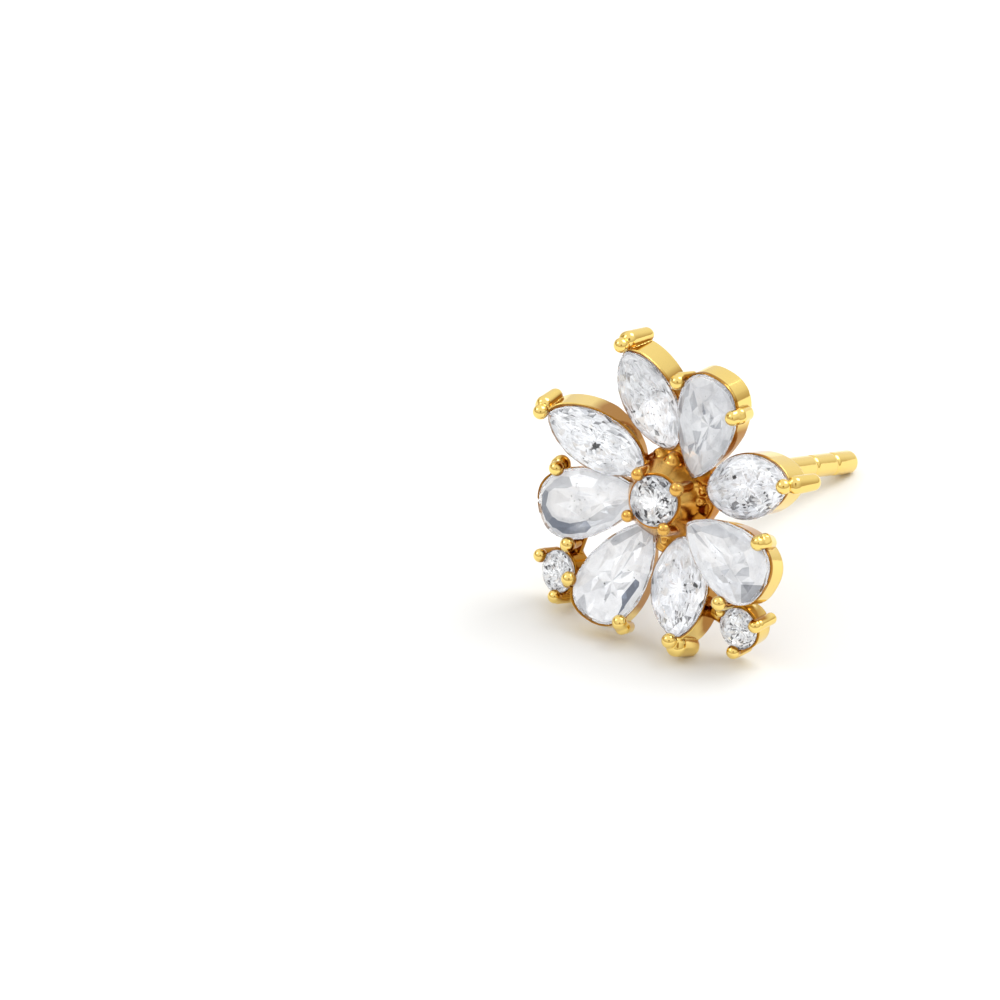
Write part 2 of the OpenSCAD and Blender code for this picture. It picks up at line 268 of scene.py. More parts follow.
def stone_room(name, x, y, z, gap=0.026):
    """Distance to the space a stone needs: its outline between two slopes, one up and one down, and
    between the heights top over its girdle and low under it."""
    if name in PETALS:
        (cut, _, width) = PETALS[name][:3]
        d = AWAY[name](x, y)
        (top, low, down) = (0.42, 0.16, 32) if cut == "pear" else (0.15 * width, 2.0, 38)
    else:
        (cut, d) = ("round", np.hypot(x, y) - ROUNDS[name][0] / 2)
        (top, low, down) = (0.15 * ROUNDS[name][0] + 0.02, 2.0, 40)
    (up, down) = (radians(CROWN_DEG[cut]), radians(down))
    field = np.maximum(d, (z - GIRDLE) * cos(up) + d * sin(up))
    field = np.maximum(field, (-z - GIRDLE) * cos(down) + d * sin(down))
    return np.maximum(np.maximum(field, z - top), -z - low) - gap


def net(field, low, high, step=STEP):
    """Surface where a field is zero: one point per grid cell it crosses, pulled onto the surface
    along the field's slope, and one four-sided face per grid edge it crosses."""
    (low, high) = (np.asarray(low, float), np.asarray(high, float))
    size = np.ceil((high - low) / step).astype(int) + 1
    axes = [low[i] + step * np.arange(size[i]) for i in range(3)]
    value = np.broadcast_to(field(*np.meshgrid(*axes, indexing="ij", sparse=True)), size)
    solid = value < 0
    corners = [(i, j, k) for i in (0, 1) for j in (0, 1) for k in (0, 1)]
    filled = sum(solid[tuple(slice(c[n], size[n] - 1 + c[n]) for n in range(3))].astype(np.int8)
                 for c in corners)
    active = (filled > 0) & (filled < 8)
    index = np.full(active.shape, -1)
    index[active] = np.arange(active.sum())
    cell = np.argwhere(active)
    total = np.zeros((len(cell), 3))
    hits = np.zeros(len(cell))
    for a in corners:
        for n in range(3):
            if a[n]:
                continue
            b = tuple(c + (m == n) for m, c in enumerate(a))
            va = value[tuple((cell + a).T)]
            vb = value[tuple((cell + b).T)]
            cut = (va < 0) != (vb < 0)
            s = np.where(cut, va / np.where(cut, va - vb, 1), 0)
            total += (a + s[:, None] * np.eye(3)[n]) * cut[:, None]
            hits += cut
    points = low + step * (cell + total / hits[:, None])
    reach = 0.2 * step
    for _ in range(3):
        slope = np.stack([(field(*(points + reach * way).T) - field(*(points - reach * way).T))
                          / (2 * reach) for way in np.eye(3)], 1)
        move = field(*points.T)[:, None] * slope / np.maximum((slope ** 2).sum(1), 0.2)[:, None]
        points = points - np.clip(move, -0.5 * step, 0.5 * step)
    faces = []
    one = np.eye(3, dtype=int)
    for n in range(3):
        (p, q) = (one[(n + 1) % 3], one[(n + 2) % 3])
        (lower, upper) = (solid[tuple(own if m == n else slice(1, -1) for m in range(3))]
                          for own in (slice(0, -1), slice(1, None)))
        edge = np.argwhere(lower != upper)
        rises = lower[tuple(edge.T)]
        quad = np.stack([index[tuple((edge + c).T)] for c in (0 * p, p, p + q, q)], 1)
        faces.append(np.where(rises[:, None], quad, quad[:, ::-1]))
    return points, np.concatenate(faces)


# ---- meshes

def outward(points, faces):
    """Unit normal at each point: the sum of its four-sided faces' normals, from their diagonals."""
    cross = np.cross(points[faces[:, 2]] - points[faces[:, 0]],
                     points[faces[:, 3]] - points[faces[:, 1]])
    total = np.zeros_like(points)
    for corner in range(4):
        np.add.at(total, faces[:, corner], cross)
    return total / np.maximum(norm(total, axis=1), 1e-12)[:, None]


def stones_off(x, y, z):
    """Distance to the nearest stone."""
    return np.minimum.reduce([stone_room(n, *into_seat(n, x, y, z), 0) for n in (*PETALS, *ROUNDS)])


def crowd(x, y, z):
    """Distance to the nearest of the plain bodies that shade the metal: hub, collets and stones."""
    near = np.maximum(np.hypot(x - HUB_AT[0], y - HUB_AT[1]) - 1.6, np.abs(z - HUB_AT[2]) - 0.27)
    for (name, row) in (*PETALS.items(), *ROUNDS.items()):
        (u, v, w) = into_seat(name, x, y, z)
        if name in PETALS:
            (out, top, foot) = (AWAY[name](u, v - row[8]) - 0.03, RIM_H, -DEPTH[row[0]])
        else:
            (out, top, foot) = (np.hypot(u, v) - row[0] / 2 - 0.1, -0.08, -1.0)
        near = np.minimum(near, np.maximum(out, np.maximum(w - top, foot - w)))
    return np.minimum(near, stones_off(x, y, z))


def recess_shade(points, normals):
    """How much painted shade each point gets, 0 to 1: the share of five steps out along its normal
    that the nearest body cuts short, and 1 in the fine seam where metal meets a stone, painted as
    a dark line of shade."""
    steps = (0.12, 0.25, 0.45, 0.75, 1.1)
    shade_share = np.zeros(len(points))
    for step in steps:
        (x, y, z) = (points + step * normals).T
        shade_share += 1 - unit(crowd(x, y, z) / step)
    # painted shade: a dark line in the seam where metal meets a stone
    seam = unit(1 - (stones_off(*points.T) - 0.03) / 0.1)
    return np.maximum(shade_share / len(steps), seam)


def gold_piece(name, points, faces, material):
    """Smooth mesh of four-sided faces at the origin that rides on the body in the setting's place,
    with the painted shade of its hollows and seams kept as an attribute."""
    mesh = bpy.data.meshes.new(name)
    mesh.vertices.add(len(points))
    mesh.vertices.foreach_set("co", laid_down(points).astype(np.float32).ravel())
    mesh.loops.add(faces.size)
    mesh.loops.foreach_set("vertex_index", faces.astype(np.int32).ravel())
    mesh.polygons.add(len(faces))
    mesh.polygons.foreach_set("loop_start", np.arange(0, faces.size, 4, dtype=np.int32))
    mesh.polygons.foreach_set("use_smooth", np.ones(len(faces), bool))
    mesh.update(calc_edges=True)
    # painted shade of the hollows and seams, kept on each point for the gold's colour
    shade = mesh.attributes.new("recess_shade", "FLOAT", "POINT")
    shade.data.foreach_set("value", recess_shade(points, outward(points, faces)).astype(np.float32))
    mesh.materials.append(material)
    return placed(name, mesh, "gold", "setting")


def placed(name, mesh, slot, *stands_for):
    """Object for a mesh: it rides on the body and takes the place of the plain solids named."""
    obj = bpy.data.objects.new(name, mesh)
    bpy.context.scene.collection.objects.link(obj)
    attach(obj, "root")
    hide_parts(*stands_for)
    return obj


# ---- materials

def fed(tree, node, inputs):
    """The node, each of its inputs given a value or linked to the output that feeds it."""
    for (key, value) in inputs.items():
        if isinstance(value, bpy.types.NodeSocket):
            tree.links.new(value, node.inputs[key])
        else:
            node.inputs[key].default_value = value
    return node


def made(tree, kind, inputs=None):
    """New shader node of a kind with its inputs."""
    return fed(tree, tree.nodes.new("ShaderNode" + kind), inputs or {})


def maths(tree, operation, one, two, clamp=False):
    """Result of an operation on two values."""
    node = tree.nodes.new("ShaderNodeMath")
    (node.operation, node.use_clamp) = (operation, clamp)
    return fed(tree, node, {0: one, 1: two}).outputs["Value"]


def mixed(tree, factor, one, two):
    """Colour between two, by a factor."""
    node = tree.nodes.new("ShaderNodeMix")
    node.data_type = "RGBA"
    return fed(tree, node, {"Factor": factor, "A": one, "B": two}).outputs["Result"]


def ranged(tree, value, start, end, least=0.0, most=1.0):
    """A value that runs from start to end, turned into one from least to most."""
    return made(tree, "MapRange", {"Value": value, "From Min": start, "From Max": end,
                                   "To Min": least, "To Max": most}).outputs["Result"]


def attribute(tree, name):
    """What a mesh keeps under a name."""
    node = tree.nodes.new("ShaderNodeAttribute")
    node.attribute_name = name
    return node.outputs["Fac"]


def clouds(tree, scale, detail=2.0, rough=0.5, squash=None):
    """Noise on the object's own coordinates, which squash can scale and turn first."""
    where = made(tree, "TexCoord").outputs["Object"]
    if squash:
        where = made(tree, "Mapping", {"Vector": where, **squash}).outputs["Vector"]
    return made(tree, "TexNoise", {"Vector": where, "Scale": scale, "Detail": detail,
                                   "Roughness": rough}).outputs["Fac"]


def polish_group():
    """Hand polish on metal: broad waves and fine hair marks. Gives a height and a mask."""
    g = bpy.data.node_groups.new("hand_polish", "ShaderNodeTree")
    for name in ("Height", "Mask"):
        g.interface.new_socket(name=name, in_out="OUTPUT", socket_type="NodeSocketFloat")
    for (name, value) in (("Wave scale", 900.0), ("Hair scale", 9000.0), ("Hair share", 0.25)):
        s = g.interface.new_socket(name=name, in_out="INPUT", socket_type="NodeSocketFloat")
        s.default_value = value
    given = g.nodes.new("NodeGroupInput").outputs
    wave = clouds(g, given["Wave scale"])
    hair = clouds(g, given["Hair scale"], 4.0, squash={"Scale": (1.0, 0.12, 1.0),
                                                       "Rotation": (0.3, 0.5, 0.7)})
    mix = made(g, "Mix", {"Factor": given["Hair share"], "A": wave, "B": hair})
    fed(g, g.nodes.new("NodeGroupOutput"), {"Height": mix.outputs["Result"], "Mask": hair})
    return g


POLISH = polish_group()


def new_material(name):
    """Empty node material, its node tree and its Principled shader."""
    m = bpy.data.materials.new(name)
    m.use_nodes = True
    return m, m.node_tree, m.node_tree.nodes["Principled BSDF"]


def gold_material(name, pale, deep, rough, bump, wave):
    """Gold: pale where open, turning to a deep colour painted in as shade in hollows and seams,
    with fine marks in roughness and height.
    """
    (m, tree, bsdf) = new_material(name)
    marks = tree.nodes.new("ShaderNodeGroup")
    marks.node_tree = POLISH
    marks.inputs["Wave scale"].default_value = wave
    # painted shade: the more a point is shut in, the more its colour goes from pale to deep
    shade_share = ranged(tree, attribute(tree, "recess_shade"), 0.16, 0.42)
    relief = made(tree, "Bump", {"Strength": bump, "Distance": 0.00002,
                                 "Height": marks.outputs["Height"]})
    fed(tree, bsdf, {"Metallic": 1.0, "Base Color": mixed(tree, shade_share, (*pale, 1), (*deep, 1)),
                     "Roughness": ranged(tree, marks.outputs["Mask"], 0.0, 1.0, *rough),
                     "Normal": relief.outputs["Normal"]})
    return m


def clouded(tree, tint, shade, cloud, veil):
    """Colour from tint to shade by each facet's own tone, a painted reflection, with noise patches
    across it that darken it further. cloud: scale, detail and roughness of the noise. veil: where
    in the noise it starts and is full, its depth."""
    (start, full, deep) = veil
    haze = ranged(tree, clouds(tree, *cloud), start, full, 0.0, deep)
    tone = maths(tree, "ADD", attribute(tree, "facet_reflection_tone"), haze, clamp=True)
    return mixed(tree, tone, (*tint, 1), (*shade, 1))


def stone_material(name, shade, clear, ior):
    """Cut stone: clear glass with a small milky share. Each facet has its own tone between a clear
    tint and shade, a painted reflection that tints the light through it, and faint noise patches
    run through both."""
    (m, tree, bsdf) = new_material(name)
    colour = clouded(tree, (0.98, 0.99, 1.0), shade, (1800.0, 6.0, 0.7), (0.35, 0.75, 0.18))
    fed(tree, bsdf, {"Transmission Weight": clear, "IOR": ior, "Roughness": 0.0,
                     "Base Color": colour})
    return m


def ice_material(name, tint, shade, shine, rough, glow):
    """Facets deep in a stone that throw the light back, painted reflections: bright, each with its
    own tone, with noise patches and fine cracks across them. Their glow is painted light, standing
    for the light a stone gathers from all round."""
    (m, tree, bsdf) = new_material(name)
    colour = clouded(tree, tint, shade, (1500.0, 10.0, 0.72), (0.48, 0.72, 0.3))
    fed(tree, bsdf, {"Metallic": shine, "Roughness": rough, "Base Color": colour,
                     "Emission Color": colour, "Emission Strength": glow})
    return m


def flake_material(name, colour, rough):
    """Inclusion in a stone: a dull chip with faint clouds in its colour."""
    (m, tree, bsdf) = new_material(name)
    deep = (*(0.7 * c for c in colour), 1)
    fed(tree, bsdf, {"Roughness": rough,
                     "Base Color": mixed(tree, clouds(tree, 8000.0), deep, (*colour, 1))})
    return m


# pale colour, then the deep colour painted in as shade, roughness range, bump and wave scale
GOLD = gold_material("polished_gold", (0.94, 0.7, 0.22), (0.42, 0.185, 0.018), (0.05, 0.13),
                     0.12, 900.0)
# the hub's gold: rough cast metal, with colours darker and redder than the polished gold's as
# painted shade for its place deep under the stones
CAST_SHADED_GOLD = gold_material("cast_shaded_gold", (0.8, 0.46, 0.11), (0.5, 0.2, 0.022), (0.12, 0.28),
                          0.7, 2500.0)
# each cut's clear stone: shade of its painted facet reflections, clearness and IOR, then the
# bright facets seen in its depth, with painted light and reflections: tint, shade, shine,
# roughness and glow
CUTS = {
    "rose_cut": ((0.06, 0.075, 0.11), 0.88, 1.6,
        (0.97, 0.98, 1.0), (0.1, 0.12, 0.17), 0.3, 0.2, 0.38),
    "crushed_cut": ((0.15, 0.18, 0.25), 0.94, 1.5,
        (0.97, 0.98, 1.0), (0.02, 0.025, 0.035), 0.5, 0.1, 0.47),
    "round_cut": ((0.15, 0.18, 0.25), 0.95, 1.6,
        (0.98, 0.99, 1.0), (0.01, 0.012, 0.02), 0.6, 0.06, 0.6),
}
FINISH = {cut: [stone_material(cut, *row[:3]), ice_material(cut + "_depth", *row[3:])]
          for (cut, row) in CUTS.items()}
WHITE_FLAKE = flake_material("white_feather", (0.9, 0.92, 0.95), 0.4)
DARK_FLAKE = flake_material("dark_speck", (0.035, 0.04, 0.05), 0.5)


# ---- stones

def rests_on(ring, azimuth):
    """The outline's furthest point in a direction, and that direction."""
    n = np.array([cos(azimuth), sin(azimuth)])
    return ring[np.argmax(ring @ n)], n


def facet(ring, azimuth, angle, z, inset=0.0):
    """Plane that leans at angle from the girdle plane, through the outline at z, inset inwards."""
    (g, n) = rests_on(ring, azimuth)
    (c, s) = (cos(radians(abs(angle))), sin(radians(abs(angle))))
    normal = np.array([n[0] * s, n[1] * s, copysign(c, angle)])
    through = np.array([*(g - inset * n), z])
    return np.append(normal, normal @ through)


def cut_body(planes):
    """Convex stone inside a set of planes: its corners are the meeting points of three planes that
    lie inside all the others, and each plane's corners in order round it are a facet."""
    planes = np.array(planes)
    found = []
    for trio in np.array_split(np.array(list(combinations(range(len(planes)), 3))), 12):
        normals = planes[trio, :3]
        ok = np.abs(np.linalg.det(normals)) > 1e-5
        corner = np.linalg.solve(normals[ok], planes[trio[ok], 3][..., None])[..., 0]
        corner = corner[np.abs(corner).max(1) < 6]
        found.append(corner[((corner @ planes[:, :3].T) - planes[:, 3]).max(1) < 1e-6])
    corner = np.unique(np.round(np.concatenate(found), 5), axis=0)
    faces = []
    for p in planes:
        on = np.nonzero(np.abs(corner @ p[:3] - p[3]) < 3e-5)[0]
        if len(on) < 3:
            continue
        u = np.cross(p[:3], (0.3, 0.5, 0.81))
        u = u / norm(u)
        v = np.cross(p[:3], u)
        rel = corner[on] - corner[on].mean(0)
        faces.append(on[np.argsort(np.arctan2(rel @ v, rel @ u))])
    return corner, faces


def spread(count, offset, stretch):
    """Azimuths round an outline, drawn towards its long sides by stretch."""
    u = np.radians((np.arange(count) + offset) * 360 / count)
    return np.arctan2(np.sin(u) * stretch, np.cos(u))


def brilliant(ring, width, stretch, dice):
    """Table, star, main and half facets above the girdle. Below it mains, halves and an inner row
    that run to the culet, and small facets set on them at seeded places, as in crushed ice."""
    (up, top, depth) = (CROWN_DEG["marquise"], 0.15 * width + 0.02, 0.42 * width)
    planes = [facet(ring, a, 90, 0) for a in spread(28, 0.5, stretch)]
    planes.append(np.array([0, 0, 1, top]))
    planes += [facet(ring, a, up, GIRDLE) for a in spread(8, 0, stretch)]
    planes += [facet(ring, a, up + 8, GIRDLE) for a in spread(16, 0.5, stretch)]
    table_in = (top - GIRDLE) / tan(radians(up))
    planes += [facet(ring, a, up - 13, top, table_in * 0.86) for a in spread(8, 0.5, stretch)]

    def below(azimuth, share, steep):
        """Facet of the lower cone at a share of the way in from the girdle."""
        (g, n) = rests_on(ring, azimuth)
        reach = max(n @ g, 0.2)
        angle = degrees(atan2((depth - GIRDLE) * steep, reach))
        return facet(ring, azimuth, -angle, -GIRDLE - (depth - GIRDLE) * share, reach * share)

    planes += [below(a, 0, 1.0) for a in spread(8, 0.5, stretch)]
    planes += [below(a, 0, 1.12) for a in spread(16, 0.25, stretch)]
    planes += [below(a, 0.32, 0.86) for a in spread(8, 0, stretch)]
    rows = (dice.uniform(-pi, pi, 26), dice.uniform(0.12, 0.7, 26),
            dice.uniform(0.86, 1.12, 26))
    planes += [below(a, share * 0.985, steep) for (a, share, steep) in zip(*rows)]
    return cut_body(planes)


def leaning(azimuth, slope):
    """Direction that leans from straight up by slope towards azimuth."""
    (a, s) = (radians(azimuth), radians(slope))
    return np.array([cos(a) * sin(s), sin(a) * sin(s), cos(s)])


def rose(ring, tops, bevel, dice):
    """Rose cut: flat back with a narrow bevel, girdle, a steep row of edge facets, a row of broad
    bevels and the large top facets, each given as azimuth, slope and height over a place."""
    planes = [facet(ring, a, 90, 0) for a in spread(28, 0.5, 1.3)]
    planes.append(np.array([0, 0, -1, 0.15]))
    planes += [facet(ring, a, -32, -GIRDLE) for a in spread(12, 0.5, 1.3)]
    edge = CROWN_DEG["pear"] + 8
    planes += [facet(ring, a, edge + w, GIRDLE)
               for (a, w) in zip(spread(18, 0.5, 1.3), dice.uniform(-3, 3, 18))]
    (inset, slope) = bevel
    height = GIRDLE + inset * tan(radians(edge))
    planes += [facet(ring, a, slope + w, height, inset)
               for (a, w) in zip(spread(13, 0.3, 1.3), dice.uniform(-2, 2, 13))]
    for (azimuth, slope, height, x, y, _) in tops:
        n = leaning(azimuth, slope)
        planes.append(np.append(n, n @ (x, y, height)))
    return cut_body(planes)


# top facets of each pear: azimuth, slope, height over the place x, y, and tone of its painted
# reflection
ROSE_TOPS = {
    "pear_left": [(0, 0.5, 0.37, 0.1, 0, 0), (180, 9, 0.36, -0.9, 0, 0.1),
        (-30, 7, 0.37, 0.95, -0.1, 0.03)],
    "pear_right": [(160, 2, 0.38, 0.3, 0, 0), (-50, 11, 0.385, 0.35, -0.15, 0.3),
        (20, 13, 0.385, 0.5, 0.1, 0.05), (-10, 17, 0.36, 0.95, -0.1, 0.7),
        (80, 13, 0.38, 0.2, 0.4, 0.2)],
    "pear_lower_left": [(180, 3, 0.4, 0.8, 0, 0), (35, 13, 0.4, 0.8, 0.02, 0.05),
        (-40, 12, 0.4, 0.8, -0.02, 0.1), (100, 9, 0.4, 0.5, 0.2, 0.02),
        (-100, 9, 0.4, 0.5, -0.2, 0.03)],
    "pear_top": [(95, 11, 0.4, 0.2, 0.06, 0.18), (-85, 9, 0.4, 0.2, -0.06, 0.05),
        (15, 14, 0.39, 0.8, 0.1, 0.1), (-35, 13, 0.39, 0.8, -0.15, 0.03),
        (165, 12, 0.38, -0.5, 0, 0.14)],
}
# bevels of each pear: how far in they start, and their slope
BEVELS = {"pear_left": (0.22, 20.5), "pear_right": (0.18, 25),
          "pear_lower_left": (0.2, 23), "pear_top": (0.16, 24)}
# bevels painted dark as reflections: azimuth and half spread in degrees, how dark
BEVEL_SHADE = {
    "pear_left": [(40, 62, 0.84), (-42, 20, 0.5), (150, 40, 0.4)],
    "pear_lower_left": [(75, 46, 0.92), (-150, 50, 0.5), (15, 20, 0.2)],
    "pear_right": [(-15, 45, 0.6), (150, 40, 0.4), (75, 35, 0.25)],
    "pear_top": [(100, 60, 0.45), (-165, 40, 0.15)],
}
# where the facets of each pear's depth meet, the painted tone they all have, and how much they
# differ
HEARTS = {"pear_left": ((-0.5, 0.1), 0, 0.25), "pear_right": ((0.5, -0.15), 0, 0.6),
          "pear_lower_left": ((0.5, 0.05), 0, 0.6), "pear_top": ((0.3, -0.25), 0.1, 0.7)}
# dark natural marks: place in the stone's own frame, size
MARKS = {
    "marquise_left": [((-0.06, 0.1, 0), 0.19), ((0.09, 0.7, -0.02), 0.05)],
    "marquise_right": [((-0.4, 0.38, 0), 0.13), ((-0.15, -0.6, -0.05), 0.07)],
    "marquise_bottom": [((0, 0.3, 0), 0.07), ((0, 0.65, 0), 0.12)],
    "marquise_top_left": [((-0.2, 0.7, -0.05), 0.06)],
    "pear_lower_left": [((0.7, -0.08, 0.2), 0.05)],
    "pear_left": [((0.3, -0.1, 0.18), 0.03)],
}
# calm places in the painted reflections of a stone's depth: place in its own frame, radius, grey
# there, contrast that is left
CALM = {
    "centre_stone": [((-0.15, -0.05), 0.32, 0, 0.3)],
    "marquise_top_left": [((0.75, 0.1), 0.95, 0.22, 0.45), ((-0.5, -0.05), 0.55, 0, 0.25)],
    "marquise_right": [((-0.1, 0.3), 0.65, 0, 0.3), ((-0.9, 0), 0.5, 0.1, 0.5)],
    "marquise_bottom": [((-1, 0), 0.75, 0.14, 0.25), ((0.15, -0.4), 0.6, 0, 0.15)],
    "marquise_left": [((0.75, 0.35), 0.65, 0.08, 0.3), ((-0.85, 0.3), 0.65, 0.12, 0.3),
        ((-0.2, -0.2), 0.4, 0, 0.4)],
}


def depth_facets(ring, centre, spokes, rings, bowl, step, dark, dice):
    """Closed plate of small facets inside a stone, as its far side shows through the top, made to
    glow with painted light and painted reflections. Points lie on lines drawn from the outline to a
    centre: place = centre + share (outline - centre), height = -bowl (1 - share) + a seeded step.
    Below it one cone closes the plate. Returns points, triangles and their painted tones."""
    rim = ring[(np.arange(spokes) * len(ring) / spokes).astype(int)]
    share = (np.arange(1, rings + 1) / rings)[:, None] ** 0.9
    free = np.minimum((1 - share) * 4, 1)
    share = share + free * dice.uniform(-0.3, 0.3, (rings, spokes)) / rings
    way = np.arange(spokes) + free * dice.uniform(-0.35, 0.35, (rings, spokes))
    way = way + 0.5 * (np.arange(rings)[:, None] % 2) * (free > 0)
    (low, part) = (np.floor(way).astype(int), (way % 1)[..., None])
    edge = rim[low % spokes] * (1 - part) + rim[(low + 1) % spokes] * part
    flat = centre + 0.94 * share[..., None] * (edge - centre)
    high = -bowl * (1 - share) + step * free * dice.uniform(-1, 1, (rings, spokes))
    points = np.concatenate([np.dstack([flat, high]).reshape(-1, 3),
                             [(*centre, -bowl), (*centre, -bowl - step - 0.08)]])
    (j, i) = np.meshgrid(np.arange(rings - 1), np.arange(spokes), indexing="ij")
    k = (i + 1) % spokes
    corners = (j * spokes + i, j * spokes + k, (j + 1) * spokes + k, (j + 1) * spokes + i)
    (a, b, c, d) = (v.ravel() for v in corners)
    pick = dice.uniform(size=len(a)) < 0.5
    i = np.arange(spokes)
    k = (i + 1) % spokes
    (top, last) = (len(points) - 2, (rings - 1) * spokes)
    faces = np.concatenate([np.stack([a, d, np.where(pick, c, b)], 1),
                            np.stack([np.where(pick, a, d), c, b], 1),
                            np.stack([i * 0 + top, i, k], 1),
                            np.stack([i * 0 + top + 1, last + k, last + i], 1)])
    # painted reflections: seeded light and dark tones for the facets
    kind = dice.uniform(size=len(faces))
    tone = dice.uniform(0, 0.12, len(faces))
    tone = tone + (kind < 3 * dark) * dice.uniform(0.1, 0.3, len(faces))
    return points, faces, unit(tone + (kind < dark) * dice.uniform(0.2, 0.6, len(faces)))


def calmed(name, points, faces, tone):
    """Painted tones of the facets in a stone's depth, evened out near its calm places: tone =
    contrast left times tone + grey, fading over 0.2 mm at each place's edge."""
    middle = points[faces][:, :, :2].mean(1)
    for (at, radius, grey, left) in CALM.get(name, []):
        near = unit((radius - norm(middle - at, axis=1)) / 0.2 + 0.5)
        tone = tone * (1 - near * (1 - left)) + grey * near
    return unit(tone)


def chips(name, count, dice):
    """Flat octahedra at seeded places and turns inside a stone, each corner at place + turn (size
    x corner). The last of them are dark, as are the stone's larger marks. Returns points, triangles
    and which triangles are dark."""
    if name in PETALS:
        (cut, length, width) = PETALS[name][:3]
        (low, high) = (0.03, 0.2) if cut == "pear" else (-0.1, 0.15)
    else:
        (length, width, low, high) = (ROUNDS[name][0],) * 2 + (-0.1, 0.1)
    r = np.sqrt(dice.uniform(0, 1, count)) * 0.66
    a = dice.uniform(0, 2 * pi, count)
    place = np.stack([length / 2 * r * np.cos(a), width / 2 * r * np.sin(a),
                      dice.uniform(low, high, count)], 1)
    size = dice.uniform(0.015, 0.06, (count, 1)) * np.array([1, 0.3, 0.2])
    size = size * dice.uniform(0.6, 1.4, (count, 3))
    for (at, big) in MARKS.get(name, []):
        place = np.concatenate([place, np.array(at) + dice.normal(0, big * 0.22, (6, 3))])
        size = np.concatenate([size, big * dice.uniform(0.5, 0.9, (6, 3)) * (1, 0.8, 0.6)])
    (turn, _) = np.linalg.qr(dice.normal(size=(len(place), 3, 3)))
    corner = np.array([(1, 0, 0), (-1, 0, 0), (0, 1, 0), (0, -1, 0), (0, 0, 1), (0, 0, -1)], float)
    side = np.array([(0, 2, 4), (2, 1, 4), (1, 3, 4), (3, 0, 4),
                     (2, 0, 5), (1, 2, 5), (3, 1, 5), (0, 3, 5)])
    turn *= np.sign(np.linalg.det(turn))[:, None, None]
    points = place[:, None] + np.einsum("nij,ncj->nci", turn, size[:, None] * corner)
    faces = side[None] + 6 * np.arange(len(place))[:, None, None]
    dark = np.arange(len(place)) >= count * 0.6
    return points.reshape(-1, 3), faces.reshape(-1, 3), np.repeat(dark, 8)


def tones(name, points, facets, dice):
    """A tone of painted reflection for each facet above the girdle: seeded, darker for the bevels
    in
    BEVEL_SHADE, and its own for each of a pear's top facets."""
    middle = np.array([points[f].mean(0) for f in facets])
    (a, b, c) = (points[[f[i] for f in facets]] for i in range(3))
    normal = np.cross(b - a, c - a)
    normal = normal / norm(normal, axis=1)[:, None] * np.sign(normal[:, 2:] + 1e-9)
    above = middle[:, 2] > GIRDLE
    bevel = above & (normal[:, 2] < 0.955) & (normal[:, 2] > 0.83)
    # painted reflections: a seeded tone for each facet
    tone = dice.uniform(0, 1, len(facets)) ** 2 * (0.25 if name in ROSE_TOPS else 0.42)
    tone[middle[:, 2] < GIRDLE] = 0
    way = np.degrees(np.arctan2(middle[:, 1] * 1.5, middle[:, 0]))
    # painted reflections: the bevels listed in BEVEL_SHADE are darker
    for (azimuth, half, dark) in BEVEL_SHADE.get(name, []):
        tone[bevel & (np.abs((way - azimuth + 180) % 360 - 180) < half)] += dark
    for (azimuth, slope, _, _, _, own) in ROSE_TOPS.get(name, []):
        tone[above & (normal @ leaning(azimuth, slope) > 0.99999)] = own
    return unit(tone)


def gem_piece(name, cut, depth, tone, finish, count, dice):
    """A stone with the facets in its depth and its inclusions in one mesh, moved onto its seat. The
    depth's tones are first taken times tone[0] plus tone[1]."""
    (points, facets) = cut
    (inner, plates, shades) = depth
    shades = calmed(name, inner, plates, shades * tone[0] + tone[1])
    (flakes, sides, dark) = chips(name, count, dice)
    mesh = bpy.data.meshes.new("cut_" + name)
    faces = [list(map(int, f)) for f in facets] + (plates + len(points)).tolist()
    faces += (sides + len(points) + len(inner)).tolist()
    corners = np.concatenate([points, inner, flakes])
    mesh.from_pydata(laid_down(from_seat(name, corners)), [], faces)
    for m in (*FINISH[finish], WHITE_FLAKE, DARK_FLAKE):
        mesh.materials.append(m)
    part = np.concatenate([np.zeros(len(facets), int), np.ones(len(plates), int), 2 + dark])
    mesh.polygons.foreach_set("material_index", part)
    # painted reflections: each facet's own tone, kept for the stone's colour
    shade = mesh.attributes.new("facet_reflection_tone", "FLOAT", "FACE")
    every = np.concatenate([tones(name, points, facets, dice), shades, 0 * dark])
    shade.data.foreach_set("value", every.astype(np.float32))
    placed("cut_" + name, mesh, "gem", name)


def make_stones():
    """Every stone in its own frame, with its own seed."""
    for (number, (name, p)) in enumerate(PETALS.items()):
        dice = np.random.default_rng(40 + number)
        ring = outline(*p[:3])
        if p[0] == "pear":
            body = rose(ring, ROSE_TOPS[name], BEVELS[name], dice)
            (heart, grey, share) = HEARTS[name]
            depth = depth_facets(ring, heart, 17, 4, 0.03, 0.03, 0.12, dice)
            gem_piece(name, body, depth, (share, grey), "rose_cut", 40, dice)
        else:
            body = brilliant(ring, p[2], 1.6, dice)
            depth = depth_facets(ring, (0, 0), 34, 8, 0.3, 0.05, 0.15, dice)
            gem_piece(name, body, depth, (1, 0), "crushed_cut", 130, dice)
    for (number, (name, r)) in enumerate(ROUNDS.items()):
        dice = np.random.default_rng(60 + number)
        ring = circle(r[0])
        body = brilliant(ring, r[0], 1.0, dice)
        depth = depth_facets(ring, (0.1, -0.05), 30, 6, 0.16 * r[0], 0.05, 0.3, dice)
        share = 1.3 if name == "centre_stone" else 1.12
        gem_piece(name, body, depth, (share, 0), "round_cut", 34, dice)


# ---- gold

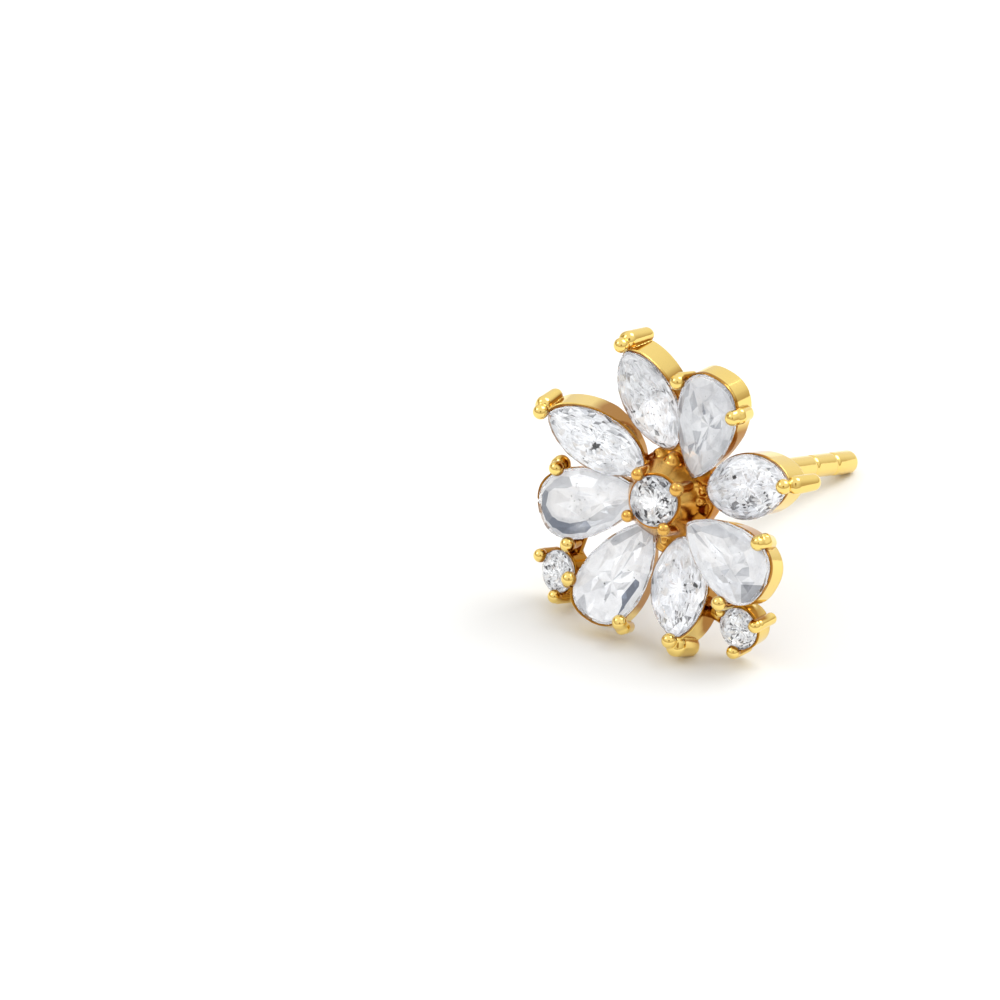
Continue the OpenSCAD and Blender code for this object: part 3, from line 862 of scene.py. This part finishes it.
def prong_field(x, y, z, row):
    """Ball on the stone, a neck that reaches over the rim, and a bar down the collet's outside.
    The bar starts a little below the ball, so that a seam shows between them."""
    (along, across, up, length, out, side, reach, wide, thick) = row
    head = np.array([along, across, up])
    way = atan2(across * 1.4, along)
    (c, s) = (cos(way), sin(way))
    elbow = head + (reach * c, reach * s, 0)
    down = np.array([tan(radians(out)), tan(radians(side)), -1.0])
    heavy = thick > 0.5
    start = elbow + (down * 0.15 if heavy else (0, 0, -0.03))
    bar = flat_bar(x, y, z, start, elbow + down * length, (-s, c, 0), wide, thick,
                   min(0.36, thick / 2 - 0.02))
    neck = rod(x, y, z, head, elbow, 0.22 if heavy else 0.25, 0.12)
    arm = joined(bar, neck, 0.03 if heavy else 0.14)
    return joined(arm, ball(x, y, z, head, 0.275), 0.015 if heavy else 0.06)


def leaving_room(name, field, x, y, z):
    """A field in a stone's own frame less the room of the petals next to that stone."""
    place = out_of_seat(name, x, y, z)
    (_, at) = seat_frame(name)
    for (other, p) in PETALS.items():
        if other != name and norm(at - p[3]) < NEAR:
            field = np.maximum(field, -stone_room(other, *into_seat(other, *place)))
    return field


def collet_field(name):
    """Wall that follows the stone's outline between two heights, plus prongs, less the stones."""
    (cut, length, _, _, _, _, _, rim, off) = PETALS[name]
    depth = DEPTH[cut]
    stand_out = min(rim, RIM_OUT)

    def field(x, y, z):
        t = x / (length / 2)
        swell = unit((t + 0.2) / 1.1) ** 2
        stand = stand_out + (rim - TAPER - stand_out) * unit(-z / depth)
        outer = -TUCK + (stand + GAP + TUCK) * swell
        d = AWAY[name](x, y - off)
        top = np.minimum(RIM_H, RIM_H + (x - 0.1) * tan(radians(RIM_RISE)))
        foot = -depth * np.clip(1 + 0.5 * t, 0.5, 1)
        wall = common(d - outer, outer - WALL - d, EDGE)
        wall = common(wall, common(z - top, foot - z, EDGE), EDGE)
        wall = common(wall, (z - top + outer - d - 0.025) * 0.7, 0.02)
        for row in PRONGS[name]:
            wall = joined(wall, prong_field(x, y, z, row), EDGE)
        wall = common(wall, -stone_room(name, x, y, z), 0.015)
        return leaving_room(name, wall, x, y, z)

    return field


# knobs of cast metal on the hub: place, radius
GRAINS = [((-0.07, 1.4, -0.98), 0.3), ((1.02, 0.73, -1.02), 0.17), ((1.31, 0.21, -1.08), 0.16),
          ((0.26, 1.08, -1.05), 0.2), ((-0.35, 1.2, -1.1), 0.2), ((0.62, 1.2, -1.1), 0.22),
          ((-0.93, 1.06, -1.05), 0.2), ((-1.1, 0.5, -1.1), 0.22), ((1.25, 0.62, -1.12), 0.2),
          ((0.9, -0.42, -1.1), 0.16), ((-0.75, 0.85, -1.1), 0.17)]
# bars and webs of cast metal on the hub: from, to, radius, fillet
HUB_BARS = [((-0.96, 0.9, -0.85), (-0.4, 1.3, -0.95), 0.12, 0.06),
            ((-0.93, 0.92, -0.85), (-1.22, 1.32, -0.62), 0.09, 0.05),
            ((0.3, -1.0, -1.2), (0.02, -1.85, -1.12), 0.3, 0.1),
            ((-0.55, 1.25, -1.15), (-0.86, 1.62, -1.1), 0.22, 0.08)]
# bars that tie each small cup to its neighbours: from, to
TIES = {
    "small_stone_left": [((-3.6, -3.1, -1.35), (-3.3, -2, -1.2)),
        ((-3.2, -3.5, -1.3), (-2.2, -3.15, -1.1))],
    "small_stone_right": [((3.1, -3.75, -1.6), (2.05, -3.35, -1.3)),
        ((3.8, -3.25, -1.45), (3.6, -2.35, -0.95))],
}


def round_prongs(name, x, y, z, bar_r):
    """Prongs of a round stone in the stone's own frame: bar and ball at each angle."""
    (_, _, _, up, radius, angles, lengths, balls) = ROUNDS[name]
    total = None
    for (a, long, size) in zip(angles, lengths, balls):
        at = (radius * cos(radians(a)), radius * sin(radians(a)))
        out = (at[0] * 1.07, at[1] * 1.07)
        one = joined(rod(x, y, z, (*out, up - 0.02), (*out, up - long), bar_r, 0.12),
                     ball(x, y, z, (*at, up), size), 0.02)
        total = one if total is None else joined(total, one, 0.05)
    return total


def hub_field(x, y, z):
    """Cast plate with soft lumps, roots to each petal, knobs, bars and webs, a sunk window on its
    right, the centre stone's collar and prongs, and the pad and neck that carry the ear post, less
    the stones' room."""
    rho = np.hypot(x - HUB_AT[0], y - HUB_AT[1])
    lumps = 0.025 * np.sin(4.1 * x + 1.3) * np.sin(3.7 * y + 0.6)
    lumps = lumps + 0.01 * np.sin(13 * x) * np.sin(11 * y + z * 7)
    plate = common(rho - 1.65, np.abs(z - HUB_AT[2]) - 0.3, 0.12) - lumps
    window = np.hypot(np.maximum(np.abs(x - 1.22) - 0.2, 0),
                      np.maximum(np.abs(y + 0.02) - 0.1, 0)) - 0.12
    plate = common(plate, -common(window, -1.32 - z, 0.06), 0.05)
    for (name, p) in PETALS.items():
        (turn, at) = seat_frame(name)
        inner = turn @ (-p[1] / 2 + 0.25, 0, -0.6) + at
        plate = joined(plate, rod(x, y, z, (0.1, 0.2, -1.35), inner, 0.24), 0.2)
    for (at, radius) in GRAINS:
        plate = joined(plate, ball(x, y, z, at, radius), 0.06)
    for (start, end, radius, soft) in HUB_BARS:
        plate = joined(plate, rod(x, y, z, start, end, radius), soft)
    plate = joined(plate, ball(x, y, z, (0.2, -1.45, -0.92), 0.16), 0.04)
    pad = rod(x, y, z, (-0.4, 0.12, -1.5), (-0.4, 0.12, -2.1), 1.15, 0.1)
    neck = rod(x, y, z, (*POST_AT, -1.6), (*POST_AT, -2.3), POST_R + 0.1, 0.1)
    plate = joined(plate, joined(pad, neck, 0.15), 0.08)
    (u, v, w) = into_seat("centre_stone", x, y, z)
    down = np.clip(-w - 0.05, 0, 1.3)
    rho = np.hypot(u, v)
    collar = common((rho - 0.97 - 0.5 * down) * 0.8, 0.62 - rho, 0.06)
    collar = common(collar, common(w + 0.06, -1.35 - w, 0.04), 0.04)
    plate = joined(plate, collar, 0.12)
    plate = joined(plate, round_prongs("centre_stone", u, v, w, 0.19), 0.05)
    for name in PETALS:
        plate = common(plate, -stone_room(name, *into_seat(name, x, y, z)), 0.02)
    return common(plate, -stone_room("centre_stone", u, v, w), 0.015)


def cup_field(name):
    """Small cup under a round stone, with its prongs and the bars that tie it to its neighbours."""
    (turn, at) = seat_frame(name)
    radius = ROUNDS[name][0] / 2
    ties = [[(np.array(end) - at) @ turn for end in bar] for bar in TIES[name]]

    def field(x, y, z):
        rho = np.hypot(x, y)
        cup = common(rho - radius - 0.08 - 0.05 * z, radius - 0.16 - rho, 0.04)
        cup = common(cup, common(z + 0.08, -0.85 - z, 0.04), 0.04)
        for (a, b) in ties:
            cup = joined(cup, rod(x, y, z, a, b, 0.25), 0.12)
        cup = common(cup, radius - 0.22 - rho, 0.06)
        cup = joined(cup, round_prongs(name, x, y, z, 0.22), 0.04)
        cup = common(cup, -stone_room(name, x, y, z), 0.015)
        return leaving_room(name, cup, x, y, z)

    return field


def seated_gold(kind, name, field, low, high):
    """A gold piece worked out in its stone's own frame."""
    (points, faces) = net(field, low, high)
    gold_piece(kind + name, from_seat(name, points), faces, GOLD)


def make_gold():
    """One fused piece of wall and prongs for each petal, the hub with the centre stone's head, and
    the two small cups."""
    for (name, (_, length, width, *_rest)) in PETALS.items():
        low = (-length / 2 - 0.3, -width / 2 - 0.85, -1.85)
        high = (length / 2 + 0.9, width / 2 + 0.85, 0.85)
        seated_gold("collet_", name, collet_field(name), low, high)
    (points, faces) = net(hub_field, (-2.3, -2.1, -2.45), (2.4, 2.6, 0.6))
    gold_piece("hub", points, faces, CAST_SHADED_GOLD)
    for name in TIES:
        seated_gold("cup_", name, cup_field(name), (-1.8, -1.6, -1.7), (1.9, 2.0, 0.6))


def make_post():
    """Ear post: a profile of radius against height turned round its axis, with two shallow grooves
    and a rounded, slightly swollen end."""
    h = np.concatenate([np.linspace(-2.0, -11.2, 12), np.linspace(-11.25, -13.7, 99)])
    r = np.full(len(h), POST_R - 0.01)
    for groove in GROOVES:
        r -= 0.05 * np.exp(-((h - groove) / 0.07) ** 2)
    r += 0.012 * unit((-h - 13.1) / 0.5)
    u = np.linspace(0, pi / 2, 14)
    h = np.concatenate([h, POST_END + 0.36 - 0.36 * np.sin(u)])
    r = np.concatenate([r, (POST_R + 0.002) * np.cos(u)])
    r[-1] = 0.012
    h = np.concatenate([h[:1], h, h[-1:]])
    r = np.concatenate([[0], r, [0]])
    a = np.linspace(0, 2 * pi, 64, endpoint=False)
    bend = 0.006 * np.sin(1.7 * h)
    x = POST_AT[0] + bend[:, None] + r[:, None] * np.cos(a)
    y = POST_AT[1] + r[:, None] * np.sin(a)
    points = np.stack([x, y, np.broadcast_to(h[:, None], x.shape)], -1).reshape(-1, 3)
    (rows, cols) = (len(h), len(a))
    (i, j) = np.meshgrid(np.arange(rows - 1), np.arange(cols), indexing="ij")
    k = (j + 1) % cols
    faces = np.stack([i * cols + j, (i + 1) * cols + j, (i + 1) * cols + k, i * cols + k], -1)
    gold_piece("ear_post", points, faces.reshape(-1, 4), GOLD)


# ---- studio

def view_axes(azimuth, elevation, roll):
    """Camera's right, up and back directions: azimuth 0 looks along +Y, roll turns the picture."""
    (a, e, r) = (radians(v) for v in (azimuth, elevation, roll))
    back = np.array([sin(a) * cos(e), -cos(a) * cos(e), sin(e)])
    right = np.array([cos(a), sin(a), 0])
    up = np.cross(back, right)
    return right * cos(r) + up * sin(r), up * cos(r) - right * sin(r), back


def aimed(obj, right, up, back, at):
    """Puts an object in the scene: its axes are right, up and back, and its place is at."""
    m = np.eye(4)
    m[:3] = np.stack([right, up, back, at], 1)
    bpy.context.scene.collection.objects.link(obj)
    obj.matrix_world = m.T.tolist()


def make_camera():
    """Long lens from the photograph's side, framed as the photograph: 35 mm across 1000 pixels."""
    (distance, field, sensor) = (1.2, 0.035, 36.0)
    data = bpy.data.cameras.new("camera")
    data.sensor_width = sensor
    data.lens = sensor * distance / field
    (data.clip_start, data.clip_end) = (0.01, 10.0)
    (right, up, back) = view_axes(*VIEW, 1.5)
    target = np.array([-4.74, -8.88, 5.10]) * MM
    cam = bpy.data.objects.new("camera", data)
    aimed(cam, right, up, back, target + back * distance)
    bpy.context.scene.camera = cam


def panel(name, azimuth, elevation, distance, width, height, radiance):
    """Soft light panel that faces the flower from a direction."""
    data = bpy.data.lights.new(name, "AREA")
    data.shape = "RECTANGLE"
    (data.size, data.size_y) = (width, height)
    data.energy = radiance * pi * width * height
    (right, up, back) = view_axes(azimuth, elevation, 0)
    aimed(bpy.data.objects.new(name, data), right, up, back, back * distance)


def make_studio():
    """Pale floor, two soft panels and the tent."""
    side = 1.5
    mesh = bpy.data.meshes.new("floor")
    mesh.from_pydata([(-side, -side, 0), (side, -side, 0), (side, side, 0), (-side, side, 0)],
                     [], [(0, 1, 2, 3)])
    (m, tree, bsdf) = new_material("pale_floor")
    fed(tree, bsdf, {"Base Color": (0.88, 0.89, 0.89, 1), "Roughness": 0.9,
                     "Specular IOR Level": 0.1})
    mesh.materials.append(m)
    floor = bpy.data.objects.new("floor", mesh)
    bpy.context.scene.collection.objects.link(floor)
    panel("panel_back", 150, 58, 0.5, 0.3, 0.3, 3.8)
    panel("panel_left", -50, 42, 0.55, 0.16, 0.2, 3.2)
    make_tent()
    bpy.context.scene.view_settings.view_transform = "Standard"


def towards(tree, way, azimuth, elevation, edge, core, least=0.0):
    """How near each direction is to a given one: from least to 1 as their cosine runs from edge to
    core."""
    (_, _, back) = view_axes(azimuth, elevation, 0)
    dot = tree.nodes.new("ShaderNodeVectorMath")
    dot.operation = "DOT_PRODUCT"
    return ranged(tree, fed(tree, dot, {0: way, 1: back}).outputs["Value"], edge, core, least)


def make_tent():
    """White tent around the table: even light, with the dark lens opening on the photograph's side
    and one dark gap between its cloths. It is darker towards the table, but hardly so behind it."""
    world = bpy.data.worlds.new("tent")
    world.use_nodes = True
    tree = world.node_tree
    (white, shade) = ((1.0, 1.0, 1.0, 1), (0.38, 0.25, 0.1, 1))
    way = made(tree, "TexCoord").outputs["Generated"]
    lens = towards(tree, way, *VIEW, 0.965, 0.985)
    gap = towards(tree, way, -75, 20, 0.97, 0.995)
    height = made(tree, "SeparateXYZ", {"Vector": way}).outputs["Z"]
    low = ranged(tree, height, 0.6, 0.05, 0.0, 0.7)
    front = towards(tree, way, -167, 8, 0.96, 0.7, 0.1)
    dark = maths(tree, "MAXIMUM", maths(tree, "MAXIMUM", lens, gap),
                 maths(tree, "MULTIPLY", low, front))
    cloth = mixed(tree, dark, white, shade)
    camera_ray = made(tree, "LightPath").outputs["Is Camera Ray"]
    fed(tree, tree.nodes["Background"], {"Color": mixed(tree, camera_ray, cloth, white),
                                         "Strength": 1.0})
    bpy.context.scene.world = world


make_stones()
make_gold()
make_post()
make_camera()
make_studio()
